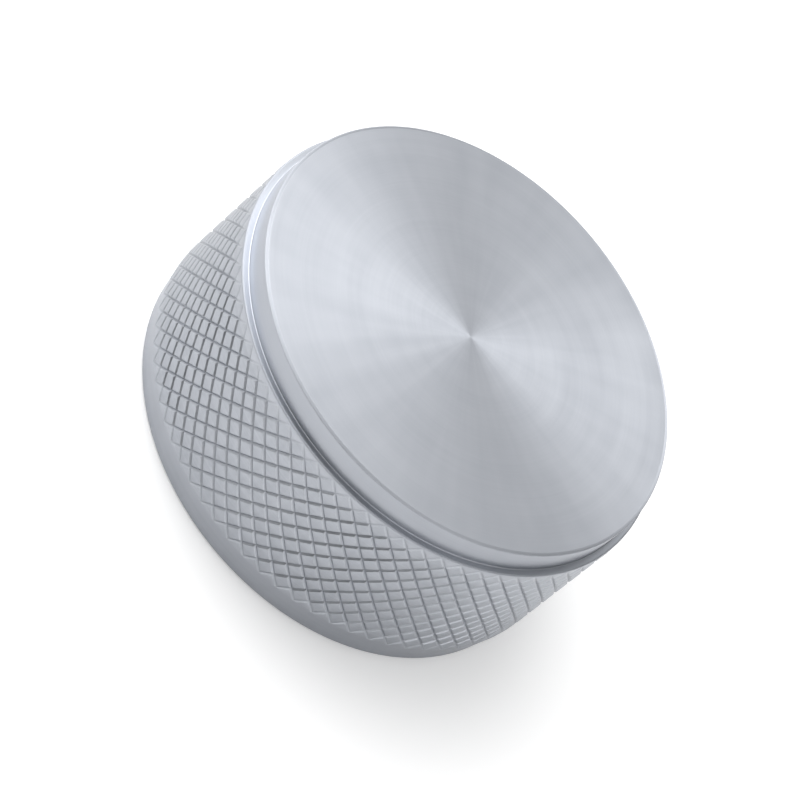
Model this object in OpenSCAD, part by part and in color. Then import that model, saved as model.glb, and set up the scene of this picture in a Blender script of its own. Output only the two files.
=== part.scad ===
// Round furniture knob, turned from bar as one solid piece.
// A diamond-knurled barrel carries a slightly smaller plain cap on its front, and a blind
// tapped hole in the flat back takes the fixing screw.
// The axis is +Z, the back face lies on Z = 0 and the origin is at its centre.

/* [Overall] */
// Height from the back face to the front face
height = 14.2; // [11.5:0.1:15.5]
// Diameter over the knurled barrel
barrel_d = 32; // [25:0.5:35]

/* [Cap] */
// Width of the barrel's shoulder, from the cap's side out to the lands
shoulder_w = 0.5; // [0.3:0.05:2]
// Height of the cap above the shoulder
cap_h = 1.85; // [1:0.05:2.5]
// Radius of the rounding on the front face's edge
cap_round = 0.2; // [0.1:0.05:0.5]
// Radius that the turning tool leaves in the corner between cap and shoulder
corner_r = 0.1; // [0.05:0.01:0.2]

/* [Barrel ends] */
// How far the plain lands stand below the knurl's tops
land_drop = 0.03; // [0.02:0.01:0.08]
// Width of the plain land between the shoulder and the knurl
front_land = 0.15; // [0.15:0.05:1]
// Break on the shoulder's outer corner
shoulder_edge = 0.1; // [0.05:0.01:0.14]
// Width of the plain tapered band at the back
back_band = 2; // [1.5:0.1:3]
// How much the back band narrows towards the back face, on the radius
back_taper = 0.35; // [0.1:0.05:0.8]
// Break on the back face's outer edge
back_edge = 0.2; // [0.1:0.05:0.4]

/* [Knurl] */
// Distance between neighbouring grooves, measured square to them
knurl_pitch = 1.015; // [1:0.005:1.6]
// Width of the grooves between the diamonds' flat tops
groove_width = 0.27; // [0.2:0.01:0.5]
// Angle between a groove's two walls
groove_angle = 90; // [60:5:120]
// How many half diamonds the grooves take to reach their depth at the front
front_runout = 2; // [1:0.5:4]
// The same at the back
back_runout = 1.5; // [1:0.5:4]

/* [Tapped hole] */
// Nominal diameter of the screw thread
thread_d = 4; // [3:1:6]
// Pitch of the screw thread
thread_pitch = 0.7; // [0.5:0.05:1]
// Depth of full bore from the back face
hole_depth = 9.5; // [6:0.5:10]
// How far the mouth's countersink stands outside the thread, on the radius
mouth_extra = 0.3; // [0.1:0.1:0.6]
// Point angle of the drill that made the hole
drill_angle = 118; // [90:1:135]

/* [Hidden] */
$fn = 180;

barrel_r = barrel_d / 2;
land_r = barrel_r - land_drop;
cap_r = land_r - shoulder_w;
shoulder_z = height - cap_h;

// A whole number of grooves goes round the barrel, at 45 degrees to the axis but for the little
// that lets a whole number of diamonds fill the knurl's length. One step is the angle from a
// diamond to the next, and one rise is half a diamond's height.
grooves = round(PI * barrel_d * cos(45) / knurl_pitch);
step = 360 / grooves;
knurl_top = shoulder_z - front_land;
knurl_base = back_band;
levels = round((knurl_top - knurl_base) / (PI * barrel_r / grooves));
rise = (knurl_top - knurl_base) / levels;

// Depth of the grooves, and the share of the pitch that the flat tops keep: half a top's width as
// an angle, and half its height along the axis
groove_depth = groove_width / 2 / tan(groove_angle / 2);
top_share = 1 - groove_width / (PI * barrel_d * cos(45) / grooves);
top_half = top_share * step / 2;
top_rise = top_share * rise;

tap_r = (thread_d - thread_pitch) / 2;
mouth_r = thread_d / 2 + mouth_extra;
drill_point = tap_r / tan(drill_angle / 2);

function on_radius(r, angle, z) = [r * cos(angle), r * sin(angle), z];

// Diamonds on every other level stand half a step further round.
function diamond_angle(level, i) = (i + (level % 2) / 2) * step;
function level_z(level) = knurl_base + level * rise;

// The knurling wheel's rounded edges let the grooves run out to nothing at both ends.
function depth_at(level) =
    let (
        share = min(level / back_runout, (levels - level) / front_runout, 1),
        rounded = 1 - (1 - share) * (1 - share)
    )
    max(rounded * groove_depth, land_drop / 2);

// Each diamond owns five points: the crossing at its left, then its top's left, upper, right and
// lower corners. The upper and lower corners lie in the plane of the side ones.
function diamond_points(level, i) =
    let (angle = diamond_angle(level, i), z = level_z(level), flat_r = barrel_r * cos(top_half))
    [
        on_radius(barrel_r - depth_at(level), angle - step / 2, z),
        on_radius(barrel_r, angle - top_half, z),
        on_radius(flat_r, angle, z + top_rise),
        on_radius(barrel_r, angle + top_half, z),
        on_radius(flat_r, angle, z - top_rise)
    ];

// Index of a diamond's point, with the count round the barrel closed on itself
function at(level, i, point) = (level * grooves + (i + grooves) % grooves) * 5 + point;
function left_crossing(level, i) = at(level, i, 0);
function right_crossing(level, i) = at(level, i + 1, 0);
// The crossing above or below a diamond belongs to the next level, half a step away.
function next_crossing(level, i, way) = at(level + way, i + level % 2, 0);

function upper_walls(level, i) =
    let (above = next_crossing(level, i, 1))
    [
        [at(level, i, 2), above, right_crossing(level, i), at(level, i, 3)],
        [at(level, i, 1), left_crossing(level, i), above, at(level, i, 2)]
    ];
function lower_walls(level, i) =
    let (below = next_crossing(level, i, -1))
    [
        [at(level, i, 3), right_crossing(level, i), below, at(level, i, 4)],
        [at(level, i, 4), below, left_crossing(level, i), at(level, i, 1)]
    ];

// Each end is cut across a row of diamonds, and closed from the axis out.
function end_fan(level, i, centre, turn) =
    [
        for (edge = [
            [left_crossing(level, i), at(level, i, 1)],
            [at(level, i, 1), at(level, i, 3)],
            [at(level, i, 3), right_crossing(level, i)]
        ])
        turn > 0 ? [centre, edge[1], edge[0]] : [centre, edge[0], edge[1]]
    ];

module knurled_disc() {
    all_i = [0 : grooves - 1];
    points = [for (level = [0 : levels], i = all_i) each diamond_points(level, i)];
    base_centre = len(points);
    top_centre = base_centre + 1;
    whole = [for (level = [1 : levels - 1], i = all_i)
        [at(level, i, 1), at(level, i, 2), at(level, i, 3), at(level, i, 4)]];
    base_halves = [for (i = all_i) [at(0, i, 1), at(0, i, 2), at(0, i, 3)]];
    top_halves = [for (i = all_i) [at(levels, i, 1), at(levels, i, 3), at(levels, i, 4)]];
    walls = [
        for (level = [0 : levels - 1], i = all_i) each upper_walls(level, i),
        for (level = [1 : levels], i = all_i) each lower_walls(level, i)
    ];
    ends = [
        for (i = all_i) each end_fan(0, i, base_centre, -1),
        for (i = all_i) each end_fan(levels, i, top_centre, 1)
    ];
    polyhedron(
        points = concat(points, [[0, 0, level_z(0)], [0, 0, level_z(levels)]]),
        faces = concat(whole, base_halves, top_halves, walls, ends)
    );
}

// Plain back band, from the back face up to the knurl
module back_end() {
    rotate_extrude()
        polygon([
            [0, 0],
            [land_r - back_taper - back_edge, 0],
            [land_r - back_taper, back_edge],
            [land_r, knurl_base],
            [0, knurl_base]
        ]);
}

// Plain land, shoulder and cap, from the knurl up to the front face
module front_end() {
    rotate_extrude() {
        polygon([
            [0, knurl_top],
            [land_r, knurl_top],
            [land_r, shoulder_z - shoulder_edge],
            [land_r - shoulder_edge, shoulder_z],
            [cap_r, shoulder_z],
            [cap_r, height - cap_round],
            [cap_r - cap_round, height],
            [0, height]
        ]);
        translate([cap_r - cap_round, height - cap_round])
            circle(r = cap_round);
        translate([cap_r, shoulder_z])
            difference() {
                square(corner_r);
                translate([corner_r, corner_r])
                    circle(r = corner_r);
            }
    }
}

// Blind hole drilled from the back, with the drill's point at its end and a countersunk mouth
module tapped_hole() {
    rotate_extrude()
        polygon([
            [0, -1],
            [mouth_r + 1, -1],
            [tap_r, mouth_r - tap_r],
            [tap_r, hole_depth],
            [0, hole_depth + drill_point]
        ]);
}

module knob() {
    color("#b4b8bf")
        difference() {
            union() {
                knurled_disc();
                back_end();
                front_end();
            }
            tapped_hole();
        }
}

knob();
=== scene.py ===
from math import atan2, cos, pi, radians, sin, tan

import bmesh
import bpy
from mathutils import Matrix, Vector


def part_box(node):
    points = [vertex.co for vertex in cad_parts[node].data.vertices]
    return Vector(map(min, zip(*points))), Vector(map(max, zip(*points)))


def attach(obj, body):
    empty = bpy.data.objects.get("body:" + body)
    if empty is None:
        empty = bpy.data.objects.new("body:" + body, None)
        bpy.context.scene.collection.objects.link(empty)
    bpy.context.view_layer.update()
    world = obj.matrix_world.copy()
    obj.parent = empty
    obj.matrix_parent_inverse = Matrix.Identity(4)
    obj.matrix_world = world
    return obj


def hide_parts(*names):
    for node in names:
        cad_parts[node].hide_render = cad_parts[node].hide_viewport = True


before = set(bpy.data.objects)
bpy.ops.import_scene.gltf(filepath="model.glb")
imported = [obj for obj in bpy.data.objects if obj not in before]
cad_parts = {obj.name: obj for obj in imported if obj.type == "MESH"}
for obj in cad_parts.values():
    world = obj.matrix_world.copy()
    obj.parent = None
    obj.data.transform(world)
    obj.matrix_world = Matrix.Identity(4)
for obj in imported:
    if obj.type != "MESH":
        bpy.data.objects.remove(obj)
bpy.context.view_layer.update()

# ---------------------------------------------------------------------------------------------
# Front end of the knob. The whole knob is one piece, turned from satin steel bar. Here are the
# spun front face, the plain cap with its broken edge, and the shoulder and the land behind it.
# ---------------------------------------------------------------------------------------------
MM = 0.001
_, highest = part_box("knob")
height = highest.z
barrel_r = highest.x
land_drop = 0.03 * MM
land_r = barrel_r - land_drop
front_land = 0.15 * MM
shoulder_width = 0.5 * MM
shoulder_edge = 0.1 * MM
cap_r = land_r - shoulder_width
cap_h = 1.85 * MM
shoulder_z = height - cap_h
corner_r = 0.06 * MM
# The cap's edge is broken to an oval, wider than it is deep.
rim_across = 0.24 * MM
rim_down = 0.12 * MM
face_r = cap_r - rim_across
# A flat has a ring this near each of its ends, so that a round's shading stays on the round.
near = 0.03 * MM

# Every ring of the turned surfaces has its corners at the knurl's own angles, so that they close
# on it. Half a pad, from its middle out: share of half a step, and share of the groove's depth
# there. It has a flat top, a rounded edge, the groove's wall and a rounded bottom.
grooves = 70
pad_profile = ((0, 0), (0.7, 0), (0.734, 0.035), (0.775, 0.155), (0.955, 0.82), (1, 0.93))
stations = [station for station, _ in pad_profile]
step = 2 * pi / grooves
ring_angles = [
    step * (i + side * station / 2)
    for i in range(grooves)
    for side, row in ((-1, stations[:0:-1]), (1, stations[:-1]))
    for station in row
]


def arc(centre_r, centre_z, across, up, start, end, points):
    """Points of a round or an oval arc about a centre, from one angle to another."""
    turns = [radians(start + (end - start) * i / points) for i in range(points + 1)]
    return [(centre_r + across * cos(t), centre_z + up * sin(t)) for t in turns]


def add_ring(mesh, r, z, angles):
    """One ring of corners round the axis, or the single corner on the axis."""
    if r == 0:
        return [mesh.verts.new((0, 0, z))]
    return [mesh.verts.new((r * cos(a), r * sin(a), z)) for a in angles]


def join_rings(mesh, first, second, material):
    """Faces between two rings, either of which may be the single corner on the axis."""
    count = max(len(first), len(second))
    for i in range(count):
        j = (i + 1) % count
        corners = [first[i % len(first)], first[j % len(first)],
                   second[j % len(second)], second[i % len(second)]]
        mesh.faces.new(list(dict.fromkeys(corners))).material_index = material


def turn(mesh, profile, angles, material):
    """Turns a profile of (radius, height) points into a surface."""
    rings = [add_ring(mesh, r, z, angles) for r, z in profile]
    for first, second in zip(rings, rings[1:]):
        join_rings(mesh, first, second, material)


SPUN, TURNED, KNURLED, CUT = range(4)
knob_mesh = bmesh.new()
face_shares = (0.02, 0.1, 0.3, 0.6, 0.9)
face_profile = [(0, height)] + [(face_r * share, height) for share in face_shares]
face_profile += [(face_r - near, height)]
rim = arc(face_r, height - rim_down, rim_across, rim_down, 90, 0, 12)
# The spun finish runs on over this many points of the rim, and the turned side starts there.
spun_points = 8
turn(knob_mesh, face_profile + rim[:spun_points], ring_angles, SPUN)
side_profile = rim[spun_points - 1:]
side_profile += [(cap_r, height - rim_down - near), (cap_r, shoulder_z + corner_r + near)]
side_profile += arc(cap_r + corner_r, shoulder_z + corner_r, corner_r, corner_r, 180, 270, 5)
side_profile += [(cap_r + corner_r + near, shoulder_z)]
side_profile += [(land_r - shoulder_edge - near, shoulder_z)]
side_profile += arc(land_r - shoulder_edge, shoulder_z - shoulder_edge,
                    shoulder_edge, shoulder_edge, 90, 0, 5)
turn(knob_mesh, side_profile, ring_angles, TURNED)


class Wire:
    """A node's output that arithmetic works on: each operator adds one Math node."""

    def __init__(self, nodes, socket):
        self.nodes, self.socket = nodes, socket

    def math(self, operation, *others):
        return self.nodes.math(operation, self, *others)

    def __add__(self, other):
        return self.nodes.math("ADD", self, other)

    def __sub__(self, other):
        return self.nodes.math("SUBTRACT", self, other)

    def __rsub__(self, other):
        return self.nodes.math("SUBTRACT", other, self)

    def __mul__(self, other):
        return self.nodes.math("MULTIPLY", self, other)

    def __truediv__(self, other):
        return self.nodes.math("DIVIDE", self, other)

    __radd__, __rmul__ = __add__, __mul__


class Nodes:
    """A node tree, and the one way its nodes are added."""

    def __init__(self, tree):
        self.tree = tree

    def add(self, kind, settings=None, inputs=None, output=0):
        """Adds a node: its settings first, then its sockets' values or wires. Gives back a wire
        from one output, or a tuple of wires where a tuple of outputs is asked for."""
        node = self.tree.nodes.new(kind)
        for name, value in (settings or {}).items():
            setattr(node, name, value)
        for key, value in (inputs or {}).items():
            wires = value if isinstance(value, list) else [value]
            for wire in wires:
                if isinstance(wire, Wire):
                    self.tree.links.new(wire.socket, node.inputs[key])
                else:
                    node.inputs[key].default_value = wire
        if not node.outputs:
            return None
        if isinstance(output, tuple):
            return tuple(Wire(self, node.outputs[key]) for key in output)
        return Wire(self, node.outputs[output])

    def math(self, operation, *values):
        return self.add("ShaderNodeMath", {"operation": operation}, dict(enumerate(values)))


def new_material(name):
    """An empty material and its nodes."""
    material = bpy.data.materials.new(name)
    material.use_nodes = True
    material.node_tree.nodes.clear()
    return material, Nodes(material.node_tree)


def from_axis(nodes):
    """Distance from the knob's axis, height, and the direction from the axis."""
    place = nodes.add("ShaderNodeTexCoord", output="Object")
    x, y, z = nodes.add("ShaderNodeSeparateXYZ", None, {0: place}, (0, 1, 2))
    smallest_r = 0.001 * MM
    r = (x * x + y * y).math("SQRT").math("MAXIMUM", smallest_r)
    return r, z, x / r, y / r


def tool_marks(nodes, spacing, spread, detail):
    """Noise that changes from ring to ring, as the turning tool moved on, and also round each
    ring by its spread, centred on zero. Height counts for less than radius, so that slopes have
    marks too."""
    height_share = 0.7
    r, z, side_x, side_y = from_axis(nodes)
    spot = nodes.add("ShaderNodeCombineXYZ", None, {
        0: side_x * spread, 1: side_y * spread, 2: (r + z * height_share) / spacing})
    noise = nodes.add("ShaderNodeTexNoise", None, {"Vector": spot, "Scale": 1, "Detail": detail})
    return noise - 0.5


def blotches(nodes, size, detail):
    """Uneven patches of about one size over the whole surface, centred on zero."""
    place = nodes.add("ShaderNodeTexCoord", output="Object")
    noise = nodes.add("ShaderNodeTexNoise", None, {
        "Vector": place, "Scale": 1 / size, "Detail": detail})
    return noise - 0.5


def between(nodes, value, start, end):
    """0 where the value is at start or before it, 1 at end or past it, and smooth between."""
    return nodes.add("ShaderNodeMapRange", {"interpolation_type": "SMOOTHSTEP"}, {
        "Value": value, "From Min": start, "From Max": end})


def tint(nodes, share, first, second):
    """One colour that turns into another as the share goes from 0 to 1. Either may be a wire."""
    first, second = (c if isinstance(c, Wire) else (*c, 1) for c in (first, second))
    return nodes.add("ShaderNodeMix", {"data_type": "RGBA"}, {0: share, 6: first, 7: second}, 2)


def bare_metal(nodes, colour, roughness, bump, bump_depth, anisotropy):
    """The shader of a bare metal. Its tool marks run round the axis, and by the anisotropy it is
    rougher across them than along them."""
    normal = nodes.add("ShaderNodeBump", None, {
        "Strength": 1, "Distance": bump_depth, "Height": bump})
    shader = nodes.add("ShaderNodeBsdfPrincipled", None, {
        "Base Color": colour, "Metallic": 1, "Roughness": roughness, "Normal": normal,
        "Anisotropic": anisotropy, "Anisotropic Rotation": 0.25})
    nodes.add("ShaderNodeOutputMaterial", None, {"Surface": shader})


# The front face is spun: fine rings, a few coarser ones, patches, and rays of painted sheen.
# Its edge was broken with abrasive cloth, which left the rounding duller and paler.
spun_metal, nodes = new_material("spun_face_metal")
pale_steel = (0.5, 0.52, 0.56)
spun_shadow = (0.42, 0.44, 0.48)
r, _, _, _ = from_axis(nodes)
broken_edge = between(nodes, r, face_r - near, face_r + 2 * near)
marks = tool_marks(nodes, spacing=0.16 * MM, spread=1.2, detail=1)
bands = tool_marks(nodes, spacing=1.1 * MM, spread=0.8, detail=1)
# The rays vary the roughness, and paint radial streaks of sheen into the colour.
rays_and_painted_sheen = tool_marks(nodes, spacing=9 * MM, spread=7, detail=2)
patches = blotches(nodes, size=5 * MM, detail=2)
shade = 0.5 + marks * 0.35 + bands * 0.5 + rays_and_painted_sheen * 0.9 + patches * 0.8 + broken_edge * 1.3
roughness = 0.31 + (marks + bands + rays_and_painted_sheen + patches) * 0.03 + broken_edge * 0.32
bare_metal(nodes, tint(nodes, shade, spun_shadow, pale_steel), roughness,
           bump=bands, bump_depth=0.003 * MM, anisotropy=0.85)

# The cap's side, the shoulder, the lands and the back are plainly turned. The cloth dulled the
# lower half of the cap's rounding too, and the shoulder's outer corner.
turned_metal, nodes = new_material("turned_metal")
turned_shadow = (0.41, 0.43, 0.47)
r, z, _, _ = from_axis(nodes)
cap_edge = between(nodes, z, height - rim_down - 2 * near, height - rim_down)
edge_start_r = land_r - shoulder_edge
edge_end_z = shoulder_z - shoulder_edge
outer_corner = (between(nodes, r, edge_start_r - near, edge_start_r + near)
                * between(nodes, z, edge_end_z - near, edge_end_z + near))
marks = tool_marks(nodes, spacing=0.09 * MM, spread=1.5, detail=2)
bands = tool_marks(nodes, spacing=0.4 * MM, spread=1.0, detail=1)
patches = blotches(nodes, size=3 * MM, detail=3)
shade = 0.5 + marks * 0.6 + bands * 0.5 + patches * 0.7 + cap_edge * 1.3
roughness = (0.36 + marks * 0.08 + bands * 0.06 + patches * 0.08
             + cap_edge.math("MAXIMUM", outer_corner) * 0.27)
bare_metal(nodes, tint(nodes, shade, turned_shadow, pale_steel), roughness,
           bump=bands, bump_depth=0.003 * MM, anisotropy=0.4)

# ---------------------------------------------------------------------------------------------
# The knurl: grooves pressed both ways at 45 degrees round the barrel, which leave square pads
# with flat tops. It is part of the same solid, and starts and ends on plain lands.
# ---------------------------------------------------------------------------------------------
groove_width = 0.27 * MM
groove_depth = groove_width / 2
back_band = 2 * MM
knurl_top = shoulder_z - front_land
levels = round((knurl_top - back_band) / (pi * barrel_r / grooves))
rise = (knurl_top - back_band) / levels
# How many half diamonds the grooves take to reach their depth at either end
front_runout = 2.0
back_runout = 1.5
weld_distance = 0.002 * MM


def half_diamond():
    """The upper half of one pad, flat: half a step is 1 across, one rise is 1 up."""
    mesh = bmesh.new()
    rows = []
    for station, depth in pad_profile:
        corners = ((station, 0), (0, station), (-station, 0)) if station else ((0, 0),)
        rows.append([mesh.verts.new((x, y, -depth)) for x, y in corners])
    for inner, outer in zip(rows, rows[1:]):
        for i in range(2):
            corners = [inner[min(i, len(inner) - 1)], outer[i], outer[i + 1],
                       inner[min(i + 1, len(inner) - 1)]]
            mesh.faces.new(list(dict.fromkeys(corners)))
    data = bpy.data.meshes.new("half_diamond")
    mesh.to_mesh(data)
    mesh.free()
    return bpy.data.objects.new("half_diamond", data)


def knurl_tree():
    """Sets half diamonds on a flat staggered grid, wraps them round the barrel and welds them."""
    tree = bpy.data.node_groups.new("knurl", "GeometryNodeTree")
    nodes = Nodes(tree)
    tree.interface.new_socket("Half diamond", in_out="INPUT", socket_type="NodeSocketGeometry")
    for name, kind in (("Grooves", "Int"), ("Levels", "Int"), ("Barrel radius", "Float"),
                       ("Land drop", "Float"), ("Groove depth", "Float"), ("Base height", "Float"),
                       ("Rise", "Float"), ("Front run-out", "Float"), ("Back run-out", "Float"),
                       ("Weld distance", "Float"), ("Material", "Material")):
        tree.interface.new_socket(name, in_out="INPUT", socket_type="NodeSocket" + kind)
    tree.interface.new_socket("Knurl", in_out="OUTPUT", socket_type="NodeSocketGeometry")

    def size(name):
        return nodes.add("NodeGroupInput", output=name)

    def position():
        place = nodes.add("GeometryNodeInputPosition")
        return nodes.add("ShaderNodeSeparateXYZ", None, {0: place}, (0, 1, 2))

    # The halves that point to the front stand on each level, and those that point back hang from
    # the level above. Every other level is shifted by half a pad.
    columns, rows = size("Grooves"), size("Levels")
    grid = nodes.add("GeometryNodeMeshGrid", None, {
        "Vertices X": columns, "Vertices Y": rows, "Size X": columns - 1, "Size Y": rows - 1})
    across, along, _ = position()
    column = across + (columns - 1) * 0.5
    level = along + (rows - 1) * 0.5
    halves = []
    for lift in (0, 1):
        lifted = level + lift
        stagger = lifted.math("ROUND").math("FLOORED_MODULO", 2)
        spot = nodes.add("ShaderNodeCombineXYZ", None, {0: column * 2 + stagger, 1: lifted})
        points = nodes.add("GeometryNodeSetPosition", None, {"Geometry": grid, "Position": spot})
        halves.append(nodes.add("GeometryNodeInstanceOnPoints", None, {
            "Points": points, "Instance": size("Half diamond"), "Rotation": (0, 0, pi * lift)}))
    joined = nodes.add("GeometryNodeJoinGeometry", None, {0: halves})
    flat = nodes.add("GeometryNodeRealizeInstances", None, {0: joined})

    # The grooves run out in a curve at both ends, and there the pads come down to the plain
    # lands over a quarter of a half diamond.
    across, along, depth = position()
    to_front = (rows - along) / size("Front run-out")
    to_back = along / size("Back run-out")
    short_of_full = 1 - to_front.math("MINIMUM", to_back).math("MINIMUM", 1)
    depth = depth * (1 - short_of_full * short_of_full) * size("Groove depth")
    end_slope = (rows - along).math("MINIMUM", along).math("MULTIPLY", 4).math("MINIMUM", 1)
    r = size("Barrel radius") - (1 - end_slope) * size("Land drop") + depth
    angle = across * pi / columns
    wrapped = nodes.add("ShaderNodeCombineXYZ", None, {
        0: r * angle.math("COSINE"), 1: r * angle.math("SINE"),
        2: size("Base height") + along * size("Rise")})
    barrel = nodes.add("GeometryNodeSetPosition", None, {"Geometry": flat, "Position": wrapped})
    welded = nodes.add("GeometryNodeMergeByDistance", None, {
        "Geometry": barrel, "Distance": size("Weld distance")})
    solid = nodes.add("GeometryNodeRealizeInstances", None, {0: welded})
    made = nodes.add("GeometryNodeSetMaterial", None, {
        "Geometry": solid, "Material": size("Material")})
    nodes.add("NodeGroupOutput", None, {0: made})
    return tree


# The pads' tops keep the tool marks of the turned bar. The edges are burnished by the knurling
# wheels, which makes them smoother, and a painted highlight makes them paler. The grooves'
# bottoms are rougher, and darker by painted shade. Where each starts and ends is a share of
# the groove's depth.
knurl_metal, nodes = new_material("knurled_metal")
pad_shadow = (0.37, 0.39, 0.425)
painted_groove_shade = (0.31, 0.325, 0.355)
r, _, _, _ = from_axis(nodes)
sunk = (barrel_r - r) / groove_depth
# bottom: deep in the grooves, a little rougher, and darker by painted shade.
bottom = between(nodes, sunk, start=0.25, end=0.95)
# edge: the pads' burnished top edges, a little smoother, and paler by a painted highlight.
edge = between(nodes, sunk, start=0, end=0.06) * (1 - between(nodes, sunk, start=0.12, end=0.4))
marks = tool_marks(nodes, spacing=0.09 * MM, spread=2.5, detail=2)
patches = blotches(nodes, size=0.9 * MM, detail=3)
# The edge's share of the shade is a painted highlight.
shade = 0.5 + marks * 0.8 + patches * 0.9 + edge * 0.25
on_top = tint(nodes, shade, pad_shadow, pale_steel)
roughness = 0.37 + marks * 0.08 + patches * 0.12 + bottom * 0.04 - edge * 0.04
bare_metal(nodes, tint(nodes, bottom * 0.7, on_top, painted_groove_shade), roughness,
           bump=marks * (1 - bottom), bump_depth=0.0015 * MM, anisotropy=0.0)

unit = half_diamond()
bpy.context.collection.objects.link(unit)
tree = knurl_tree()
maker = unit.modifiers.new("knurl", "NODES")
maker.node_group = tree
for name, value in (("Grooves", grooves), ("Levels", levels), ("Barrel radius", barrel_r),
                    ("Land drop", land_drop), ("Groove depth", groove_depth),
                    ("Base height", back_band), ("Rise", rise),
                    ("Front run-out", front_runout), ("Back run-out", back_runout),
                    ("Weld distance", weld_distance), ("Material", knurl_metal)):
    maker[tree.interface.items_tree[name].identifier] = value
unit.update_tag()
evaluated = unit.evaluated_get(bpy.context.evaluated_depsgraph_get())
knurl_data = bpy.data.meshes.new_from_object(evaluated)
unit.modifiers.remove(maker)
bpy.data.objects.remove(unit)
turned_faces = len(knob_mesh.faces)
knob_mesh.from_mesh(knurl_data)
knob_mesh.faces.ensure_lookup_table()
for face in knob_mesh.faces[turned_faces:]:
    face.material_index = KNURLED


def open_ring(mesh, z):
    """The open edge at one height, as corners in order of angle. The corner at angle 0 comes
    first, even where it is rounded to just below 0."""
    z_tolerance = near / 10
    angle_tolerance = 0.0001
    corners = [v for v in mesh.verts if v.is_boundary and abs(v.co.z - z) < z_tolerance]
    return sorted(corners, key=lambda v: (atan2(v.co.y, v.co.x) + angle_tolerance) % (2 * pi))


join_rings(knob_mesh, open_ring(knob_mesh, shoulder_z - shoulder_edge),
           open_ring(knob_mesh, knurl_top), TURNED)

# ---------------------------------------------------------------------------------------------
# Back end of the same solid: a plain band that narrows to the back edge, and the flat back that
# is pulled against the door. It is turned after the knurl, whose grooves stop at the band.
# ---------------------------------------------------------------------------------------------
back_taper = 0.35 * MM
back_edge = 0.2 * MM
back_r = land_r - back_taper
# The band's first point: how far it is below the knurl, and how far in from the land.
first_down = 0.15 * MM
first_in = back_taper / 10

back_profile = [(land_r - first_in, back_band - first_down)]
back_profile += [(back_r, back_edge + near)]
back_profile += arc(back_r - back_edge, back_edge, back_edge, back_edge, 0, -90, 5)
back_profile += [(back_r - back_edge - near, 0)]
turn(knob_mesh, back_profile, ring_angles, TURNED)
join_rings(knob_mesh, open_ring(knob_mesh, back_band),
           open_ring(knob_mesh, back_band - first_down), TURNED)

# ---------------------------------------------------------------------------------------------
# The tapped hole for the fixing screw, M4 with its standard 0.7 mm pitch: drilled with a 118
# degree point, countersunk at the mouth, and cut with a right-hand thread.
# ---------------------------------------------------------------------------------------------
thread_r = 2.0 * MM
pitch = 0.7 * MM
tap_r = thread_r - pitch / 2
countersink = 0.3 * MM
mouth_r = thread_r + countersink
mouth_z = mouth_r - tap_r
hole_depth = 9.5 * MM
drill_point = tap_r / tan(radians(118) / 2)
thread_end = hole_depth - 0.8 * pitch
hole_corners = 140
hole_angles = [2 * pi * i / hole_corners for i in range(hole_corners)]
# The thread's corners over one pitch: share of the pitch, and share of the thread's depth
thread_corners = ((0.06, 1), (0.38, 0), (0.62, 0), (0.94, 1))


def thread_line(mesh, start_z, share):
    """One line of corners once round the thread. It stops at the countersink, where it starts
    within a third of a pitch, and fades out over the last pitch."""
    corners = []
    for i, angle in enumerate(hole_angles):
        z = min(max(start_z + pitch * i / hole_corners, mouth_z), thread_end)
        fade = min((z - mouth_z) / (pitch / 3), (thread_end - z) / pitch, 1)
        r = tap_r + share * fade * (thread_r - tap_r)
        corners.append(mesh.verts.new((r * cos(angle), r * sin(angle), z)))
    return corners


# The thread starts a turn before the mouth and goes on past its end, where its lines lie on one
# another and are merged. After one turn each line goes on as the one a pitch above it.
per_turn = len(thread_corners)
turns = int((thread_end - mouth_z) / pitch) + 3
lines = [
    thread_line(knob_mesh, mouth_z + pitch * (k - 1 + place), share)
    for k in range(turns) for place, share in thread_corners
]
for low in range(len(lines) - 1):
    high = low + 1
    for i in range(hole_corners):
        on = i + 1
        step_up = per_turn * (on == hole_corners)
        if high + step_up < len(lines):
            corners = (lines[low][i], lines[low + step_up][on % hole_corners],
                       lines[high + step_up][on % hole_corners], lines[high][i])
            knob_mesh.faces.new(corners).material_index = CUT
turn(knob_mesh, [(mouth_r, 0), (tap_r, mouth_z)], hole_angles, CUT)
turn(knob_mesh, [(tap_r, thread_end), (tap_r, hole_depth), (0, hole_depth + drill_point)],
     hole_angles, CUT)

# The hole's walls are cut and left as they are, dull and with traces of cutting oil.
cut_metal, nodes = new_material("cut_thread_metal")
cut_shadow = (0.3, 0.31, 0.33)
cut_light = (0.42, 0.44, 0.47)
marks = tool_marks(nodes, spacing=0.04 * MM, spread=3.0, detail=2)
patches = blotches(nodes, size=0.6 * MM, detail=3)
shade = 0.5 + marks * 0.4 + patches * 0.7
roughness = 0.42 + marks * 0.1 + patches * 0.15
bare_metal(nodes, tint(nodes, shade, cut_shadow, cut_light), roughness,
           bump=marks, bump_depth=0.001 * MM, anisotropy=0.0)

# All of it becomes one closed solid: what meets is merged, and the flat back is filled in
# between its outer edge and the hole's mouth.
bmesh.ops.remove_doubles(knob_mesh, verts=knob_mesh.verts, dist=weld_distance / 2)
bmesh.ops.dissolve_degenerate(knob_mesh, edges=knob_mesh.edges, dist=weld_distance / 20)
back_edges = [e for e in knob_mesh.edges if e.is_boundary]
filled = bmesh.ops.triangle_fill(knob_mesh, edges=back_edges, use_beauty=True)
for face in filled["geom"]:
    if isinstance(face, bmesh.types.BMFace):
        face.material_index = TURNED
bmesh.ops.recalc_face_normals(knob_mesh, faces=knob_mesh.faces)

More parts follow.
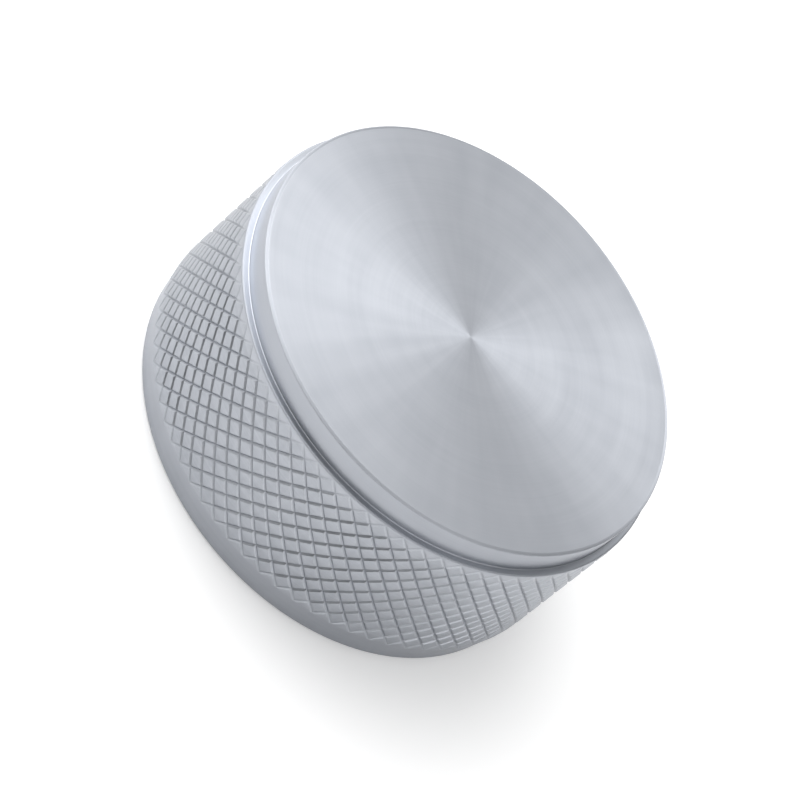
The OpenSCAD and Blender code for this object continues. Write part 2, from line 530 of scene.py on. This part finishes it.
knob_data = bpy.data.meshes.new("turned_knob")
knob_mesh.to_mesh(knob_data)
knob_mesh.free()
sharp_above = radians(28)
knob_data.shade_smooth()
knob_data.set_sharp_from_angle(angle=sharp_above)
for metal in (spun_metal, turned_metal, knurl_metal, cut_metal):
    knob_data.materials.append(metal)
turned_knob = bpy.data.objects.new("turned_knob", knob_data)
bpy.context.collection.objects.link(turned_knob)
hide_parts("knob")
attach(turned_knob, "root")

# ---------------------------------------------------------------------------------------------
# Studio: a plain pale floor, soft lights and the camera. The camera sees white all round, and
# the floor keeps the knob's soft shadow.
# ---------------------------------------------------------------------------------------------
floor_half = 1.5
# A hair below the knob's back, so that the two don't lie in one plane
floor_z = -0.02 * MM
floor_colour = (0.8, 0.8, 0.8, 1)
# What the pale floor shines with: to the camera, and in the metal
floor_seen = 0.3
floor_mirrored = 0.12
floor_data = bpy.data.meshes.new("floor")
floor_corners = [(x * floor_half, y * floor_half, floor_z)
                 for x, y in ((-1, -1), (1, -1), (1, 1), (-1, 1))]
floor_data.from_pydata(floor_corners, [], [(0, 1, 2, 3)])
floor = bpy.data.objects.new("floor", floor_data)
bpy.context.collection.objects.link(floor)
floor_material, nodes = new_material("pale_floor")


def camera_or_mirror(nodes):
    """Two shares: 1 for what the camera sees, and 1 for what metal and glass show of it. Both
    are 0 for the light that falls on things."""
    camera, glossy, transmission = nodes.add(
        "ShaderNodeLightPath", output=("Is Camera Ray", "Is Glossy Ray", "Is Transmission Ray"))
    return camera, (glossy + transmission).math("MINIMUM", 1)


camera_ray, mirror_ray = camera_or_mirror(nodes)
paper = nodes.add("ShaderNodeBsdfDiffuse", None, {"Color": floor_colour})
glow = nodes.add("ShaderNodeEmission", None, {
    "Strength": camera_ray * floor_seen + mirror_ray * floor_mirrored})
both = nodes.add("ShaderNodeAddShader", None, {0: paper, 1: glow})
nodes.add("ShaderNodeOutputMaterial", None, {"Surface": both})
floor_data.materials.append(floor_material)

world = bpy.data.worlds.new("studio")
bpy.context.scene.world = world
world.use_nodes = True
world.node_tree.nodes.clear()
nodes = Nodes(world.node_tree)
way = nodes.add("ShaderNodeTexCoord", output="Generated")


def towards(azimuth, elevation):
    """The direction from the knob to a place in degrees. Azimuth 0 is the viewer's side, and it
    grows counter-clockwise seen from above."""
    turn_by, lift_by = radians(azimuth), radians(elevation)
    return Vector((sin(turn_by) * cos(lift_by), -cos(turn_by) * cos(lift_by), sin(lift_by)))


def soft_patch(azimuth, elevation, narrowness, radiance):
    """Light from all round one direction, full in its middle and falling off smoothly."""
    facing = nodes.add("ShaderNodeVectorMath", {"operation": "DOT_PRODUCT"}, {
        0: way, 1: towards(azimuth, elevation)}, "Value")
    return facing.math("MAXIMUM", 0).math("POWER", narrowness) * radiance


# Each patch has its azimuth, elevation, narrowness and radiance. The bright side is the left:
# a low row of patches, and a broad one above them.
low_left = (soft_patch(-140, 32, 9, 1.6) + soft_patch(-100, 32, 9, 1.9)
            + soft_patch(-60, 32, 9, 0.65))
high_left = soft_patch(-120, 60, 7, 2.85)
# The right side and the front only fill in, and a weak patch hangs overhead.
right = soft_patch(60, 32, 9, 0.55) + soft_patch(120, 60, 7, 0.55)
front = soft_patch(20, 18, 18, 0.7)
overhead = soft_patch(180, 88, 7, 0.6)
light = low_left + high_left + right + front + overhead

# Metal shows the white studio as a low wall that stands behind the knob. Its two sizes are
# parts of a direction: how far back it is at its full white, and how high it fades out.
wall_full_back = 0.5
wall_top = 0.14
_, back, up = nodes.add("ShaderNodeSeparateXYZ", None, {0: way}, (0, 1, 2))
wall = between(nodes, back, 0, wall_full_back) * (1 - between(nodes, up, 0, wall_top))
camera_ray, mirror_ray = camera_or_mirror(nodes)
strength = camera_ray + mirror_ray * wall + (1 - camera_ray) * light
air = nodes.add("ShaderNodeBackground", None, {"Color": (1, 1, 1, 1), "Strength": strength})
nodes.add("ShaderNodeOutputWorld", None, {"Surface": air})


def soft_box(name, azimuth, elevation, width, depth, radiance):
    """A rectangular lamp that points at the knob."""
    distance = 3
    data = bpy.data.lights.new(name, "AREA")
    data.shape, data.size, data.size_y = "RECTANGLE", width, depth
    data.energy = radiance * pi * width * depth
    lamp = bpy.data.objects.new(name, data)
    direction = towards(azimuth, elevation)
    lamp.matrix_world = (Matrix.Translation(direction * distance)
                         @ direction.to_track_quat("Z", "Y").to_matrix().to_4x4())
    lamp.visible_camera = False
    bpy.context.collection.objects.link(lamp)


soft_box("corner", azimuth=-155, elevation=35, width=1.2, depth=1.2, radiance=0.9)
soft_box("right", azimuth=60, elevation=11, width=3.0, depth=0.9, radiance=1.3)

# The camera looks down on the front face, and is rolled so that the knob's axis leans right.
# Its lens and the centre of its view are in pixels of the frame, measured from the top left.
camera_turn = radians(0.56)
camera_tilt = radians(47.526)
camera_roll = radians(49.959)
camera_distance = 340.12 * MM
frame_px = 800
lens_px = 5321.18
centre_x_px = 407.61
centre_y_px = 390.46
camera_data = bpy.data.cameras.new("camera")
camera_data.sensor_width = 36
camera_data.lens = lens_px / frame_px * camera_data.sensor_width
camera_data.shift_x = -(centre_x_px - frame_px / 2) / frame_px
camera_data.shift_y = (centre_y_px - frame_px / 2) / frame_px
camera = bpy.data.objects.new("camera", camera_data)
camera.matrix_world = (Matrix.Translation((0, 0, height / 2))
                       @ Matrix.Rotation(camera_turn, 4, "Z")
                       @ Matrix.Rotation(camera_tilt, 4, "X")
                       @ Matrix.Translation((0, 0, camera_distance))
                       @ Matrix.Rotation(camera_roll, 4, "Z"))
bpy.context.collection.objects.link(camera)
bpy.context.scene.camera = camera
bpy.context.scene.view_settings.view_transform = "Standard"
